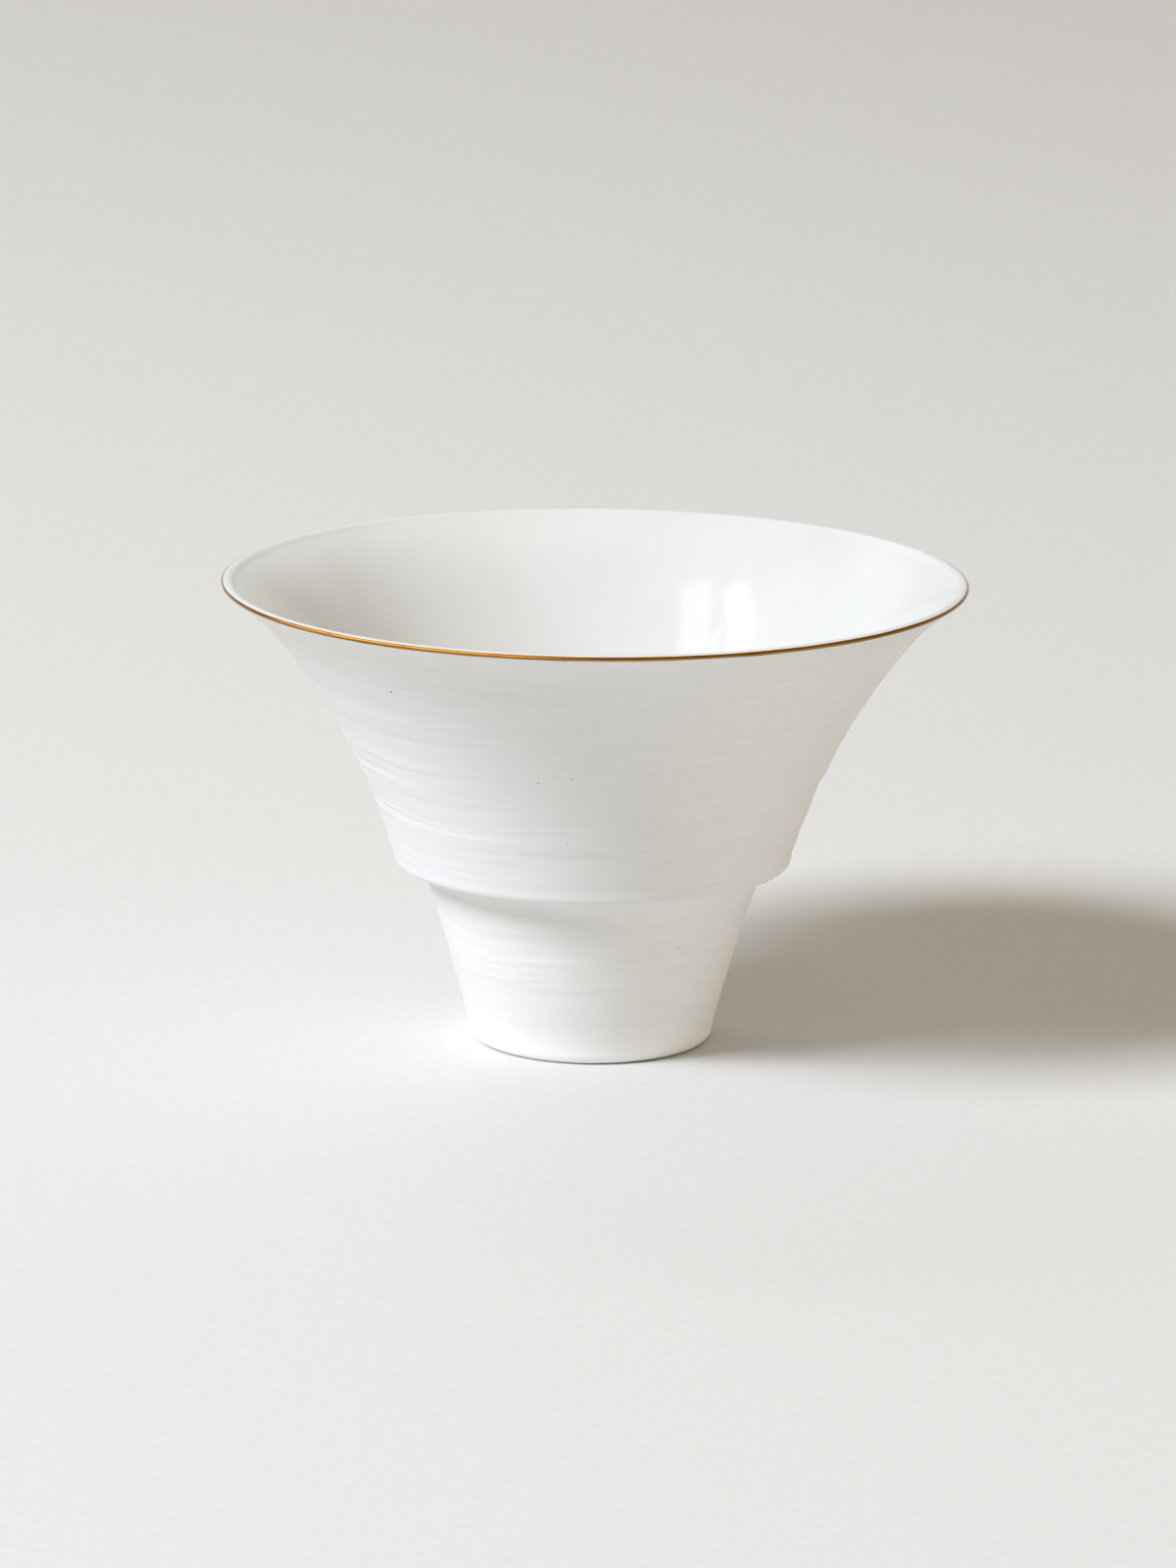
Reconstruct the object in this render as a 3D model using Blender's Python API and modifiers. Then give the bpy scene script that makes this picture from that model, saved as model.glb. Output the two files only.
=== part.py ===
"""A flared porcelain cup on a stepped foot: the fired body, its coats and its gilded lip.

Everything is turned about the Z axis. Units are metres, +Z is up, and the origin is the centre
of the foot ring's resting plane. Outlines are arrays of (radius, height) points. They travel up
the inside, over the lip, down the outside and in under the base, so that the open side is always
on the left of the direction of travel, and a shift to the left moves away from the clay.
"""

import math

import bpy
import numpy as np

MM = 0.001

# The finished outside.
CUP_HEIGHT = 50.4 * MM
RIM_RADIUS = 40.0 * MM
LEDGE_RADIUS = 21.46 * MM
LEDGE_HEIGHT = 20.5 * MM
LEDGE_ROUND_WIDTH = 0.62 * MM
LEDGE_ROUND_HEIGHT = 1.0 * MM
LEDGE_OVERHANG = 3.03 * MM  # level width of the step from the bowl in to the foot
FOOT_RADIUS = 13.2 * MM
FOOT_EDGE_ROUND = 1.64 * MM
FOOT_HOLLOW = 0.13 * MM  # how far the foot's wall sags inwards from a straight cone

# How the bowl opens.
WALL_LEAN = 0.274  # outward run for each unit of rise, just above the ledge
LIP_FLARE = 1.69 * MM  # extra reach of the lip beyond the wall's even curve
FLARE_POWER = 13  # how suddenly the lip turns out

# The wall, measured level.
WALL_THICKNESS = 2.45 * MM
FOOT_WALL = 1.97 * MM  # at the foot's top, inside the step
LIP_THICKNESS = 1.5 * MM
LIP_ROUND = 0.4 * MM

# The inside.
FLOOR_THICKNESS = 2.8 * MM
WELL_INSET = 1.7 * MM  # from the foot's lower radius in to where the floor starts to turn up
WELL_DROP = 8.0 * MM  # how far the wall's line carries on below the ledge before it turns in

# The base.
RING_WIDTH = 1.16 * MM
RING_CHAMFER = 0.4 * MM
RECESS_DEPTH = 2.4 * MM
RECESS_DOME = 0.4 * MM
RECESS_FILLET = 1.0 * MM

# The coats and the gilding.
LAYER_GAP = 0.25 * MM
SLIP_THICKNESS = 0.3 * MM
GLAZE_THICKNESS = 0.3 * MM
GOLD_WIDTH = 0.3 * MM
BARE_OUTSIDE = 4.6 * MM  # from the rim down to the brushed slip
BARE_INSIDE = 4.6 * MM  # from the rim down to where the glaze is thick enough to be a piece
GLAZE_STAND_OFF = 0.8 * MM  # from the resting plane up to the glaze under the base

SEGMENTS = 56
MERGE_DISTANCE = 0.00001

FOOT_TOP_RADIUS = LEDGE_RADIUS - LEDGE_OVERHANG
LEDGE_EXTRA = LEDGE_OVERHANG + FOOT_WALL - WALL_THICKNESS  # wall added at the ledge
RECESS_RADIUS = FOOT_RADIUS - FOOT_EDGE_ROUND - RING_WIDTH - RING_CHAMFER
WELL_RADIUS = FOOT_RADIUS - WELL_INSET
WELL_FLOOR = RECESS_DEPTH + RECESS_DOME + FLOOR_THICKNESS
SHELF_HEIGHT = LEDGE_HEIGHT - LEDGE_ROUND_HEIGHT
WALL_TOP = CUP_HEIGHT - LIP_ROUND
SLIP_TOP = CUP_HEIGHT - BARE_OUTSIDE
GLAZE_TOP = CUP_HEIGHT - BARE_INSIDE
SLIP_SEAT = SLIP_THICKNESS + LAYER_GAP
GLAZE_SEAT = GLAZE_THICKNESS + LAYER_GAP


def outline(radius, height):
    """Pair radii with heights; either may be a single value."""
    return np.stack(np.broadcast_arrays(radius, height), axis=1).astype(float)


def point(radius, height):
    """An outline of one point."""
    return np.array([[radius, height]])


def shifted(points, distance):
    """Move an outline to its left, with mitred corners; points on the axis stay on it."""
    along = np.diff(points, axis=0)
    along /= np.linalg.norm(along, axis=1, keepdims=True)
    left = np.stack([-along[:, 1], along[:, 0]], axis=1)
    corner = np.vstack([left[:1], left]) + np.vstack([left, left[-1:]])
    moved = points + distance * 2.0 * corner / (corner**2).sum(axis=1, keepdims=True)
    moved[points[:, 0] == 0.0, 0] = 0.0
    return moved


def rise_share(height):
    """Share of the way from the ledge up to the top of the wall."""
    return (height - LEDGE_HEIGHT) / (WALL_TOP - LEDGE_HEIGHT)


def outer_radius(height):
    """The bowl's outside: a leaning line, a parabola and a late turn at the lip."""
    share = rise_share(height)
    lean = WALL_LEAN * (WALL_TOP - LEDGE_HEIGHT)
    sweep = RIM_RADIUS - LEDGE_RADIUS - lean - LIP_FLARE
    return LEDGE_RADIUS + lean * share + sweep * share**2 + LIP_FLARE * share**FLARE_POWER


def inner_radius(height):
    """The bowl's inside: the outside less a wall that thins upwards and tapers at the lip."""
    share = rise_share(height)
    taper = (WALL_THICKNESS - LIP_THICKNESS) * share**FLARE_POWER
    return outer_radius(height) - WALL_THICKNESS - LEDGE_EXTRA * (1.0 - share) ** 2 + taper


def outer_height(radius):
    """Height at which the bowl's outside has this radius."""
    heights = np.linspace(LEDGE_HEIGHT, WALL_TOP, 600)
    return float(np.interp(radius, outer_radius(heights), heights))


def lip_arc(low_radius, high_radius, count):
    """The lip's top between two radii: half an ellipse over the wall's two faces."""
    half = LIP_THICKNESS / 2.0
    centre = RIM_RADIUS - half
    limits = np.clip((np.array([low_radius, high_radius]) - centre) / half, -1.0, 1.0)
    angle = np.linspace(*np.arccos(limits), count)
    return outline(centre + half * np.cos(angle), WALL_TOP + LIP_ROUND * np.sin(angle))


def bowl_outside(top, count):
    """Down the bowl's outside from a height to the ledge."""
    height = np.linspace(top, LEDGE_HEIGHT, count)
    return outline(outer_radius(height), height)


def ledge(end_radius):
    """From the ledge's edge round to its level underside, and in to a radius."""
    angle = np.linspace(0.0, math.pi / 2.0, 5)[1:]
    centre = LEDGE_RADIUS - LEDGE_ROUND_WIDTH
    rounded = outline(
        centre + LEDGE_ROUND_WIDTH * np.cos(angle),
        LEDGE_HEIGHT - LEDGE_ROUND_HEIGHT * np.sin(angle),
    )
    return np.vstack([rounded, point(end_radius, SHELF_HEIGHT)])


def foot_outside(bottom, count):
    """Down the foot's outside from the ledge to a height, a cone with a slight hollow."""
    height = np.linspace(SHELF_HEIGHT, bottom, count)
    share = (height - FOOT_EDGE_ROUND) / (SHELF_HEIGHT - FOOT_EDGE_ROUND)
    cone = FOOT_RADIUS + (FOOT_TOP_RADIUS - FOOT_RADIUS) * share
    return outline(cone - FOOT_HOLLOW * 4.0 * share * (1.0 - share), height)


def foot_edge():
    """The foot's rounded lower edge, down to the resting plane."""
    angle = np.linspace(0.0, math.pi / 2.0, 5)
    centre = FOOT_RADIUS - FOOT_EDGE_ROUND
    return outline(
        centre + FOOT_EDGE_ROUND * np.cos(angle),
        FOOT_EDGE_ROUND * (1.0 - np.sin(angle)),
    )


def recess(start_height):
    """Up the recess under the base from a height, round its corner and in to the axis."""
    turn = np.linspace(0.0, math.pi / 2.0, 4)
    corner = outline(
        RECESS_RADIUS - RECESS_FILLET * (1.0 - np.cos(turn)),
        RECESS_DEPTH - RECESS_FILLET * (1.0 - np.sin(turn)),
    )
    share = np.array([0.5, 0.0])
    ceiling = outline(
        (RECESS_RADIUS - RECESS_FILLET) * share,
        RECESS_DEPTH + RECESS_DOME * (1.0 - share**2),
    )
    return np.vstack([point(RECESS_RADIUS, start_height), corner, ceiling])


def well(count):
    """From the middle of the inside's floor out and up to the ledge's height, one Bezier arc."""
    step = 0.1 * MM
    lean = (inner_radius(LEDGE_HEIGHT + step) - inner_radius(LEDGE_HEIGHT)) / step
    top = np.array([inner_radius(LEDGE_HEIGHT), LEDGE_HEIGHT])
    handles = (
        np.array([0.0, WELL_FLOOR]),
        np.array([WELL_RADIUS, WELL_FLOOR]),
        top - WELL_DROP * np.array([lean, 1.0]),
        top,
    )
    share = np.linspace(0.0, 1.0, count)[:, None]
    weights = (
        (1.0 - share) ** 3,
        3.0 * (1.0 - share) ** 2 * share,
        3.0 * (1.0 - share) * share**2,
        share**3,
    )
    return sum(weight * handle for weight, handle in zip(weights, handles))


def inside(top, count):
    """Up the whole inside, from the middle of the floor to a height."""
    height = np.linspace(LEDGE_HEIGHT, top, count)
    wall = outline(inner_radius(height), height)
    return np.vstack([well(8), wall[1:]])


def turned(name, points, material, closed):
    """Turn an outline about Z into an object; closed joins its last point to its first."""
    count = len(points)
    vertices = [(radius, 0.0, height) for radius, height in points]
    edges = [(index, index + 1) for index in range(count - 1)]
    if closed:
        edges.append((count - 1, 0))
    mesh = bpy.data.meshes.new(name)
    mesh.from_pydata(vertices, edges, [])
    mesh.materials.append(material)
    piece = bpy.data.objects.new(name, mesh)
    screw = piece.modifiers.new("turning", "SCREW")
    screw.axis = "Z"
    screw.angle = 2.0 * math.pi
    screw.steps = SEGMENTS
    screw.render_steps = SEGMENTS
    screw.use_merge_vertices = True
    screw.merge_threshold = MERGE_DISTANCE
    screw.use_smooth_shade = True
    return piece


def finish(name, colour, roughness, metallic=0.0):
    """A Principled material of one colour."""
    material = bpy.data.materials.new(name)
    material.use_nodes = True
    shader = material.node_tree.nodes["Principled BSDF"]
    shader.inputs["Base Color"].default_value = (*colour, 1.0)
    shader.inputs["Roughness"].default_value = roughness
    shader.inputs["Metallic"].default_value = metallic
    return material


def porcelain_body():
    """The fired clay: seats for the coats and the gilding, a foot ring and a recessed base."""
    gold_seat = RIM_RADIUS - GOLD_WIDTH - LAYER_GAP
    lip_middle = RIM_RADIUS - LIP_THICKNESS / 2.0
    glaze_edge = GLAZE_TOP + LAYER_GAP
    slip_edge = SLIP_TOP + LAYER_GAP
    bare_inside = np.linspace(glaze_edge, WALL_TOP, 5)[:-1]
    bare_outside = np.linspace(outer_height(gold_seat), slip_edge, 5)
    slip_seat = np.vstack(
        [bowl_outside(slip_edge, 9), ledge(FOOT_TOP_RADIUS), foot_outside(FOOT_EDGE_ROUND, 5)[1:]]
    )
    points = np.vstack(
        [
            shifted(inside(glaze_edge, 8), -GLAZE_SEAT),
            outline(inner_radius(bare_inside), bare_inside),
            lip_arc(RIM_RADIUS - LIP_THICKNESS, lip_middle, 4),
            lip_arc(lip_middle, gold_seat, 2)[1:],
            outline(outer_radius(bare_outside), bare_outside),
            shifted(slip_seat, -SLIP_SEAT),
            foot_edge(),
            point(RECESS_RADIUS + RING_CHAMFER, 0.0),
            recess(RING_CHAMFER),
        ]
    )
    return turned("porcelain_body", points, finish("fired_porcelain", (0.82, 0.81, 0.78), 0.6), False)


def inner_glaze():
    """The clear glaze that lines the cup."""
    face = inside(GLAZE_TOP, 8)
    points = np.vstack([face, shifted(face, -GLAZE_THICKNESS)[::-1]])
    return turned("inner_glaze", points, finish("clear_glaze", (0.86, 0.87, 0.84), 0.08), False)


def outer_slip_bowl(material):
    """The brushed slip on the bowl, from under the rim round to the ledge's underside."""
    face = np.vstack([bowl_outside(SLIP_TOP, 9), ledge(FOOT_TOP_RADIUS + LAYER_GAP)])
    points = np.vstack([face, shifted(face, -SLIP_THICKNESS)[::-1]])
    return turned("outer_slip_bowl", points, material, True)


def outer_slip_foot(material):
    """The brushed slip on the foot, from the ledge's underside to the foot's rounded edge."""
    top = point(FOOT_TOP_RADIUS, SHELF_HEIGHT + SLIP_THICKNESS)
    face = np.vstack([top, foot_outside(FOOT_EDGE_ROUND + LAYER_GAP, 5)])
    points = np.vstack([face, shifted(face, -SLIP_THICKNESS)[::-1]])
    return turned("outer_slip_foot", points, material, True)


def underside_glaze():
    """The glaze inside the foot ring."""
    seat = recess(GLAZE_STAND_OFF)
    back = shifted(seat, LAYER_GAP)
    face = shifted(seat, LAYER_GAP + GLAZE_THICKNESS)
    points = np.vstack([back[::-1], face])
    return turned("underside_glaze", points, finish("base_glaze", (0.85, 0.86, 0.83), 0.12), False)


def gold_rim():
    """The gilded outer edge of the lip."""
    inner = RIM_RADIUS - GOLD_WIDTH
    points = np.vstack([lip_arc(inner, RIM_RADIUS, 4), point(inner, outer_height(inner))])
    gold = finish("burnished_gold", (0.78, 0.48, 0.16), 0.22, 1.0)
    return turned("gold_rim", points, gold, True)


def main():
    """Clear the scene and build every piece into the cup's collection."""
    for leftover in list(bpy.data.objects):
        bpy.data.objects.remove(leftover, do_unlink=True)
    slip = finish("brushed_slip", (0.80, 0.79, 0.76), 0.45)
    pieces = (
        porcelain_body(),
        inner_glaze(),
        outer_slip_bowl(slip),
        outer_slip_foot(slip),
        underside_glaze(),
        gold_rim(),
    )
    cup = bpy.data.collections.new("flared_cup")
    bpy.context.scene.collection.children.link(cup)
    for piece in pieces:
        cup.objects.link(piece)


main()
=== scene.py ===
"""A flared porcelain cup on a stepped foot, with a brushed outside and a gilded lip.

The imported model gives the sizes. Every visible piece is a surface turned about the Z axis:
an outline of (radius, height) points carried round a circle on a grid, and then moved along
its own normals where a brush or a hand has left a mark. Outlines travel up the inside, over
the lip, down the outside and in under the base, so the open side is always on their left.
"""

import logging
import math
from dataclasses import dataclass, field
from enum import Enum

import bpy
import numpy as np
from mathutils import Matrix, Vector

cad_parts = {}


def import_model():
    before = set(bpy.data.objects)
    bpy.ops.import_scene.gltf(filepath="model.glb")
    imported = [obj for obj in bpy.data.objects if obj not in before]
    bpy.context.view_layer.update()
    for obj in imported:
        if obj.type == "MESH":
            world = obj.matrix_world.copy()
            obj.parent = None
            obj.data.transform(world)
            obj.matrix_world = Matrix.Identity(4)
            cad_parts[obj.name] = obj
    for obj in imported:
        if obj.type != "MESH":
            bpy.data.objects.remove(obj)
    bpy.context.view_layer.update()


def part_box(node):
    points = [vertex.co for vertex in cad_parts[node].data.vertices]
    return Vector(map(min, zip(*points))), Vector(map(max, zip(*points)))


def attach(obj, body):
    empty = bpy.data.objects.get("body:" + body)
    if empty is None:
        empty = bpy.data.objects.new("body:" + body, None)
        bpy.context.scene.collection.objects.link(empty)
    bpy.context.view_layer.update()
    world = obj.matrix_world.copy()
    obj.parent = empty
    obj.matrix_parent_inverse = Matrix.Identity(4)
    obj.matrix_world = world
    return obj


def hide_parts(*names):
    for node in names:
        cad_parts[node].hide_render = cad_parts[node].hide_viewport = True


LOG = logging.getLogger("flared_cup")
MM = 0.001
TURN = 2.0 * math.pi
BRUSH_FIELD = "brush_field"
Strength = tuple[tuple[float, float], ...]  # rows of (share of the way down, brush strength)


class Slot(Enum):
    """The record's finishes."""

    CLAY = "fired_porcelain"
    GLAZE = "clear_glaze"
    SLIP = "brushed_slip"
    BASE = "base_glaze"
    GOLD = "burnished_gold"


# ---------------------------------------------------------------------------------------
# Colour and node helpers
# ---------------------------------------------------------------------------------------


def linear(code: str) -> tuple[float, float, float, float]:
    """Turn an sRGB hex colour into linear light.

    Args:
        code: Six hex digits after a hash sign.

    Returns:
        Red, green, blue and an alpha of one.
    """
    shares = [int(code[place : place + 2], 16) / 255.0 for place in (1, 3, 5)]
    light = [s / 12.92 if s <= 0.04045 else ((s + 0.055) / 1.055) ** 2.4 for s in shares]
    return (*light, 1.0)


def add_node(
    tree: bpy.types.NodeTree,
    kind: str,
    settings: dict[str, object] | None = None,
    inputs: dict[str | int, object] | None = None,
) -> bpy.types.Node:
    """Add a node, set its properties and fill or link its inputs.

    Args:
        tree: The node tree to add to.
        kind: The node's type name.
        settings: Property values of the node.
        inputs: For each input's name or number, a value or an output socket to link from.

    Returns:
        The new node.
    """
    node = tree.nodes.new(kind)
    for name, value in (settings or {}).items():
        setattr(node, name, value)
    for name, value in (inputs or {}).items():
        if isinstance(value, bpy.types.NodeSocket):
            tree.links.new(value, node.inputs[name])
        else:
            node.inputs[name].default_value = value
    return node


# ---------------------------------------------------------------------------------------
# Outlines and sections
# ---------------------------------------------------------------------------------------


def outline(radius: np.ndarray | float, height: np.ndarray | float) -> np.ndarray:
    """Pair radii with heights; either may be a single value."""
    return np.stack(np.broadcast_arrays(radius, height), axis=-1).astype(float).reshape(-1, 2)


def lengths(points: np.ndarray) -> np.ndarray:
    """Distance along an outline from its first point to each point."""
    steps = np.linalg.norm(np.diff(points, axis=0), axis=1)
    return np.concatenate([[0.0], np.cumsum(steps)])


class Section:
    """The cup's finished outline from the axis inside to the axis under the base."""

    def __init__(self, points: np.ndarray, spacing: float, softness: float) -> None:
        """Space an outline evenly and soften its corners with a bell-shaped average.

        Args:
            points: The outline, from the axis back to the axis.
            spacing: Distance between the evened points, in metres.
            softness: Width of the average, in metres.
        """
        run = lengths(points)
        even = np.linspace(0.0, run[-1], int(run[-1] / spacing))
        evened = np.stack([np.interp(even, run, points[:, axis]) for axis in (0, 1)], axis=1)
        reach = int(3.0 * softness / spacing)
        bell = np.exp(-0.5 * (np.arange(-reach, reach + 1) * spacing / softness) ** 2)
        bell /= bell.sum()
        across = np.array([-1.0, 1.0])
        padded = np.vstack([evened[reach:0:-1] * across, evened, evened[-2 : -reach - 2 : -1] * across])
        soft = np.stack([np.convolve(padded[:, axis], bell, "valid") for axis in (0, 1)], axis=1)
        soft[[0, -1], 0] = 0.0
        self.points = soft
        self.run = lengths(soft)
        tangent = np.gradient(soft, self.run, axis=0)
        tangent /= np.linalg.norm(tangent, axis=1, keepdims=True)
        self.normals = np.stack([-tangent[:, 1], tangent[:, 0]], axis=1)

    def station(self, radius: float, height: float) -> float:
        """Distance along the section to the point nearest a radius and a height."""
        return float(self.run[np.linalg.norm(self.points - (radius, height), axis=1).argmin()])

    def surface(self, along: np.ndarray, columns: int, lift: np.ndarray | float = 0.0) -> np.ndarray:
        """Carry stretches of the section round the Z axis.

        At distance s along the section and at angle a, the section's point is moved by the lift
        along its outward normal, and its radius is laid out along cos a and sin a.

        Args:
            along: Distance along the section, for each row or for each row and column.
            columns: How many steps make the circle.
            lift: Distance outwards, for each row and column or for all.

        Returns:
            Positions by row and column.
        """
        along = along if along.ndim == 2 else along[:, None]
        angle = np.arange(columns) * TURN / columns
        radius, height = (np.interp(along, self.run, self.points[:, axis]) for axis in (0, 1))
        out, up = (np.interp(along, self.run, self.normals[:, axis]) for axis in (0, 1))
        radius = np.broadcast_to(radius + lift * out, (len(along), columns))
        height = np.broadcast_to(height + lift * up, (len(along), columns))
        return np.stack([radius * np.cos(angle), radius * np.sin(angle), height], axis=-1)


def turned_object(name: str, grid: np.ndarray, poles: bool) -> bpy.types.Object:
    """Make a closed mesh object from a turned grid.

    Args:
        name: The object's name.
        grid: Positions by row and column; the columns close on themselves.
        poles: True where the first and last rows lie on the axis and each becomes one point,
            False where the last row joins the first and makes a ring.

    Returns:
        The object, shaded smooth, with its place in its mesh.
    """
    rows, columns = grid.shape[:2]
    column = np.arange(columns)
    beside = (column + 1) % columns
    fans = []
    vertices = grid.reshape(-1, 3)
    starts = np.arange(rows)[:, None] * columns
    if poles:
        vertices = np.concatenate([grid[1:-1].reshape(-1, 3), grid[0, :1], grid[-1, :1]])
        starts = starts[: rows - 3]
        first, last = (rows - 2) * columns + np.arange(2)
        end = (rows - 3) * columns
        fans.append(np.stack([np.full(columns, first), column, beside], axis=1))
        fans.append(np.stack([np.full(columns, last), end + beside, end + column], axis=1))
    after = (starts + columns) % (rows * columns)
    corners = [starts + column, after + column, after + beside, starts + beside]
    quads = np.stack(corners, axis=-1).reshape(-1, 4)
    faces = quads.tolist() + [triangle for fan in fans for triangle in fan.tolist()]
    mesh = bpy.data.meshes.new(name)
    mesh.from_pydata(vertices.tolist(), [], faces)
    mesh.shade_smooth()
    mesh.update()
    piece = bpy.data.objects.new(name, mesh)
    bpy.context.scene.collection.objects.link(piece)
    return piece


def eased(value: np.ndarray, start: float, end: float) -> np.ndarray:
    """Rise smoothly from 0 at start to 1 at end, level at both."""
    share = np.clip((value - start) / (end - start), 0.0, 1.0)
    return share**2 * (3.0 - 2.0 * share)


# ---------------------------------------------------------------------------------------
# The cup's form
# ---------------------------------------------------------------------------------------


@dataclass(frozen=True)
class CupForm:
    """The finished surfaces of the cup, in metres. The first six sizes come from the model."""

    rim_radius: float
    height: float
    shelf_height: float
    foot_top_radius: float
    recess_radius: float
    recess_height: float
    ledge_overhang: float = 3.03 * MM
    ledge_round: tuple[float, float] = (0.62 * MM, 1.0 * MM)
    foot_radius: float = 13.2 * MM
    foot_edge_round: float = 1.64 * MM
    foot_edge_width: float = 0.9 * MM
    crease_fillet: float = 1.5 * MM
    foot_hollow: float = 0.13 * MM
    wall_lean: float = 0.274
    lip_flare: float = 1.69 * MM
    flare_power: int = 13
    wall_thickness: float = 2.45 * MM
    foot_wall: float = 1.97 * MM
    lip_thickness: float = 1.5 * MM
    lip_round: float = 0.4 * MM
    floor_thickness: float = 3.05 * MM
    well_inset: float = 1.7 * MM
    well_drop: float = 8.0 * MM
    ring_round: float = 0.4 * MM
    recess_fillet: float = 1.0 * MM
    recess_dome: float = 0.65 * MM
    layer_gap: float = 0.25 * MM
    spacing: float = 0.04 * MM
    softness: float = 0.3 * MM

    @classmethod
    def from_model(cls) -> "CupForm":
        """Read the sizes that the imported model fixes."""
        base_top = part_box("underside_glaze")[1]
        return cls(
            rim_radius=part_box("gold_rim")[1].x,
            height=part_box("porcelain_body")[1].z,
            shelf_height=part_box("outer_slip_bowl")[0].z,
            foot_top_radius=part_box("outer_slip_foot")[1].x,
            recess_radius=base_top.x,
            recess_height=base_top.z,
        )

    @property
    def ledge_radius(self) -> float:
        """Radius of the bowl just above the step."""
        return self.foot_top_radius + self.ledge_overhang

    @property
    def ledge_height(self) -> float:
        """Height at which the bowl's wall starts."""
        return self.shelf_height + self.ledge_round[1]

    @property
    def wall_top(self) -> float:
        """Height at which the wall's two faces meet the lip's rounding."""
        return self.height - self.lip_round

    def outer_radius(self, height: np.ndarray | float) -> np.ndarray | float:
        """The bowl's outside: a leaning line, a parabola and a late turn at the lip."""
        rise = self.wall_top - self.ledge_height
        share = (height - self.ledge_height) / rise
        lean = self.wall_lean * rise
        sweep = self.rim_radius - self.ledge_radius - lean - self.lip_flare
        turn = self.lip_flare * share**self.flare_power
        return self.ledge_radius + lean * share + sweep * share**2 + turn

    def inner_radius(self, height: np.ndarray | float) -> np.ndarray | float:
        """The bowl's inside: the outside less a wall that thins upwards and tapers at the lip."""
        share = (height - self.ledge_height) / (self.wall_top - self.ledge_height)
        extra = self.ledge_overhang + self.foot_wall - self.wall_thickness
        taper = (self.wall_thickness - self.lip_thickness) * share**self.flare_power
        return self.outer_radius(height) - self.wall_thickness - extra * (1.0 - share) ** 2 + taper

    def foot_outer_radius(self, height: np.ndarray | float) -> np.ndarray | float:
        """The foot's outside: a cone with a slight hollow."""
        share = (height - self.foot_edge_round) / (self.shelf_height - self.foot_edge_round)
        cone = self.foot_radius + (self.foot_top_radius - self.foot_radius) * share
        return cone - self.foot_hollow * 4.0 * share * (1.0 - share)

    def skin_radius(self, height: float) -> float:
        """Radius of the whole outside at a height, foot or bowl."""
        below = height < self.shelf_height
        return self.foot_outer_radius(height) if below else self.outer_radius(height)

    def crease(self) -> tuple[float, np.ndarray]:
        """The slip that fills the corner between the ledge's underside and the foot.

        An arc of radius f touches the level shelf and the foot's cone, which leans by an angle a.
        Its middle is f below the shelf, and f cos a - f (1 - sin a) tan a outside the cone's top.

        Returns:
            The height where the arc meets the cone, and the arc's outline.
        """
        fillet = self.crease_fillet
        run = self.foot_top_radius - self.foot_radius
        lean = math.atan2(run, self.shelf_height - self.foot_edge_round)
        drop = fillet * (1.0 - math.sin(lean))
        middle = self.foot_top_radius + fillet * math.cos(lean) - drop * math.tan(lean)
        end = 180.0 - math.degrees(lean)
        arc = self.ellipse((middle, self.shelf_height - fillet), (fillet, fillet), 90, end)
        return self.shelf_height - drop, arc

    def well(self) -> np.ndarray:
        """From the middle of the inside's floor out and up to the ledge, one Bezier arc."""
        low = self.ledge_height
        step = 0.1 * MM
        lean = (self.inner_radius(low + step) - self.inner_radius(low)) / step
        top = np.array([self.inner_radius(low), low])
        floor = self.recess_height + self.floor_thickness
        turn = np.array([self.foot_radius - self.well_inset, floor])
        handle = top - self.well_drop * np.array([lean, 1.0])
        share = np.linspace(0.0, 1.0, 60)[:, None]
        rest = 1.0 - share
        start = rest**3 * (0.0, floor) + 3.0 * rest**2 * share * turn
        return start + 3.0 * rest * share**2 * handle + share**3 * top

    def ellipse(
        self, centre: tuple[float, float], half: tuple[float, float], start: float, end: float
    ) -> np.ndarray:
        """Points round part of an ellipse.

        Args:
            centre: Radius and height of its middle.
            half: Its half widths along radius and height.
            start: First angle in degrees, from the outward direction.
            end: Last angle in degrees.

        Returns:
            The arc's outline.
        """
        angle = np.radians(np.linspace(start, end, 24))
        return outline(centre[0] + half[0] * np.cos(angle), centre[1] + half[1] * np.sin(angle))

    def section(self) -> Section:
        """The whole outline: well, wall, lip, wall, ledge, foot, ring and recess."""
        rise = np.linspace(self.ledge_height, self.wall_top, 120)
        fillet_end, fillet = self.crease()
        foot = np.linspace(fillet_end, self.foot_edge_round, 60)
        lip_half = self.lip_thickness / 2.0
        round_width, round_height = self.ledge_round
        edge, corner = (self.foot_edge_width, self.foot_edge_round), self.recess_fillet
        ceiling = self.recess_height - self.recess_dome
        flat = self.recess_radius - corner
        dome = np.linspace(1.0, 0.0, 30)[1:]
        parts = [
            self.well(),
            outline(self.inner_radius(rise), rise)[1:],
            self.ellipse((self.rim_radius - lip_half, self.wall_top), (lip_half, self.lip_round), 140, 0),
            outline(self.outer_radius(rise), rise)[::-1][1:],
            self.ellipse(
                (self.ledge_radius - round_width, self.ledge_height), (round_width, round_height), 0, -90
            )[1:],
            fillet,
            outline(self.foot_outer_radius(foot), foot)[1:],
            self.ellipse((self.foot_radius - edge[0], edge[1]), edge, 0, -90)[1:],
            outline(self.recess_radius + self.ring_round, 0.0),
            outline(self.recess_radius, self.ring_round),
            self.ellipse((flat, ceiling - corner), (corner, corner), 0, 90),
            outline(flat * dome, ceiling + (self.recess_dome - self.layer_gap) * (1.0 - dome**2)),
        ]
        return Section(np.vstack(parts), self.spacing, self.softness)


# ---------------------------------------------------------------------------------------
# Brush marks
# ---------------------------------------------------------------------------------------


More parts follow.
